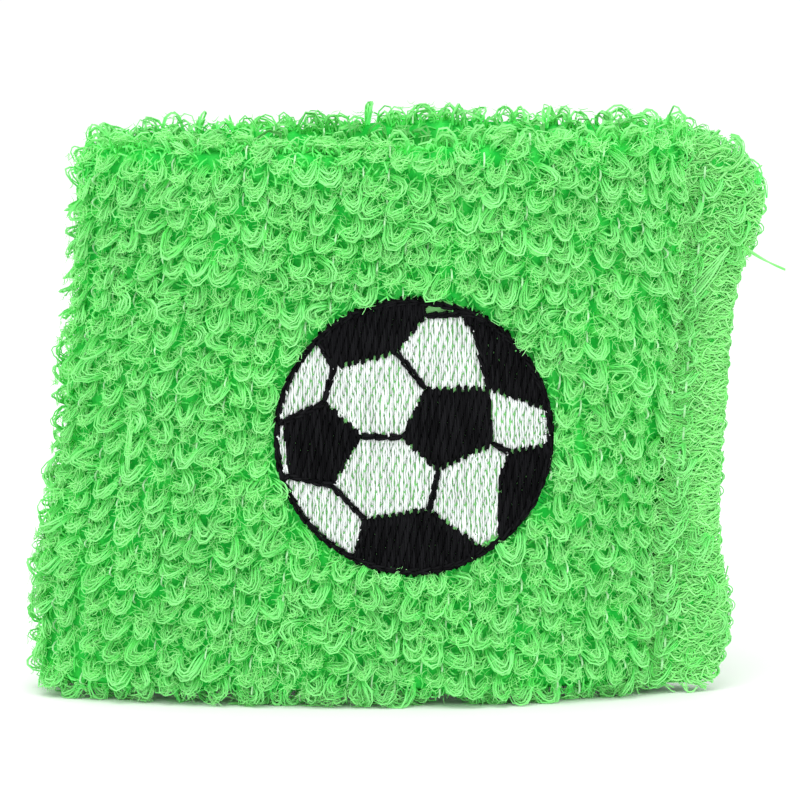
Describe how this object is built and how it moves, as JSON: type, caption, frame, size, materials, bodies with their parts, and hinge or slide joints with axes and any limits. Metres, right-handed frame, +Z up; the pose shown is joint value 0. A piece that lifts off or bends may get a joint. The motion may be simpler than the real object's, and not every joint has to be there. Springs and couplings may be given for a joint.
{
  "type": "sweat wristband",
  "caption": "Flattened terry sweat wristband standing on its edge, with a side seam and an embroidered football on the front.",
  "frame": {"origin": "middle of the box that the band fills, on the surface that it stands on", "axes": "+X to the band's right, towards the side seam; -Y out of the front face with the ball; +Z up"},
  "size_m": [0.0919, 0.027, 0.072],
  "materials": {
    "terry_pile": "bright green cotton terry with open loops of soft hairy yarn",
    "knit_ground": "dense green and white knitted ground under the loops",
    "elastic_yarn": "covered elastic yarn, off white",
    "sewing_thread": "matching green spun sewing thread",
    "backing_fleece": "white non-woven embroidery backing",
    "white_thread": "white trilobal embroidery thread with a soft sheen",
    "black_thread": "black trilobal embroidery thread with a soft sheen"
  },
  "bodies": {
    "root": {"outer_pile": "terry_pile", "outer_ground": "knit_ground", "outer_elastic_yarns": "elastic_yarn", "inner_elastic_yarns": "elastic_yarn", "inner_ground": "knit_ground", "inner_pile": "terry_pile", "front_seam_allowance": "terry_pile", "back_seam_allowance": "terry_pile", "seam_needle_thread": "sewing_thread", "seam_bobbin_thread": "sewing_thread", "overlock_thread": "sewing_thread", "thread_tail": "sewing_thread", "pulled_loops": "terry_pile", "embroidery_backing": "backing_fleece", "embroidery_bobbin_thread": "white_thread", "ball_outline_thread": "black_thread", "black_field_middle": "black_thread", "black_field_top_right": "black_thread", "black_field_top_left": "black_thread", "black_field_left": "black_thread", "black_field_bottom": "black_thread", "black_field_right": "black_thread", "white_field_top": "white_thread", "white_field_upper_left": "white_thread", "white_field_lower_left": "white_thread", "white_field_lower_right": "white_thread", "white_field_right": "white_thread", "white_field_edge_upper_left": "white_thread", "white_field_edge_lower_left": "white_thread", "white_field_edge_left": "white_thread"}
  },
  "joints": []
}
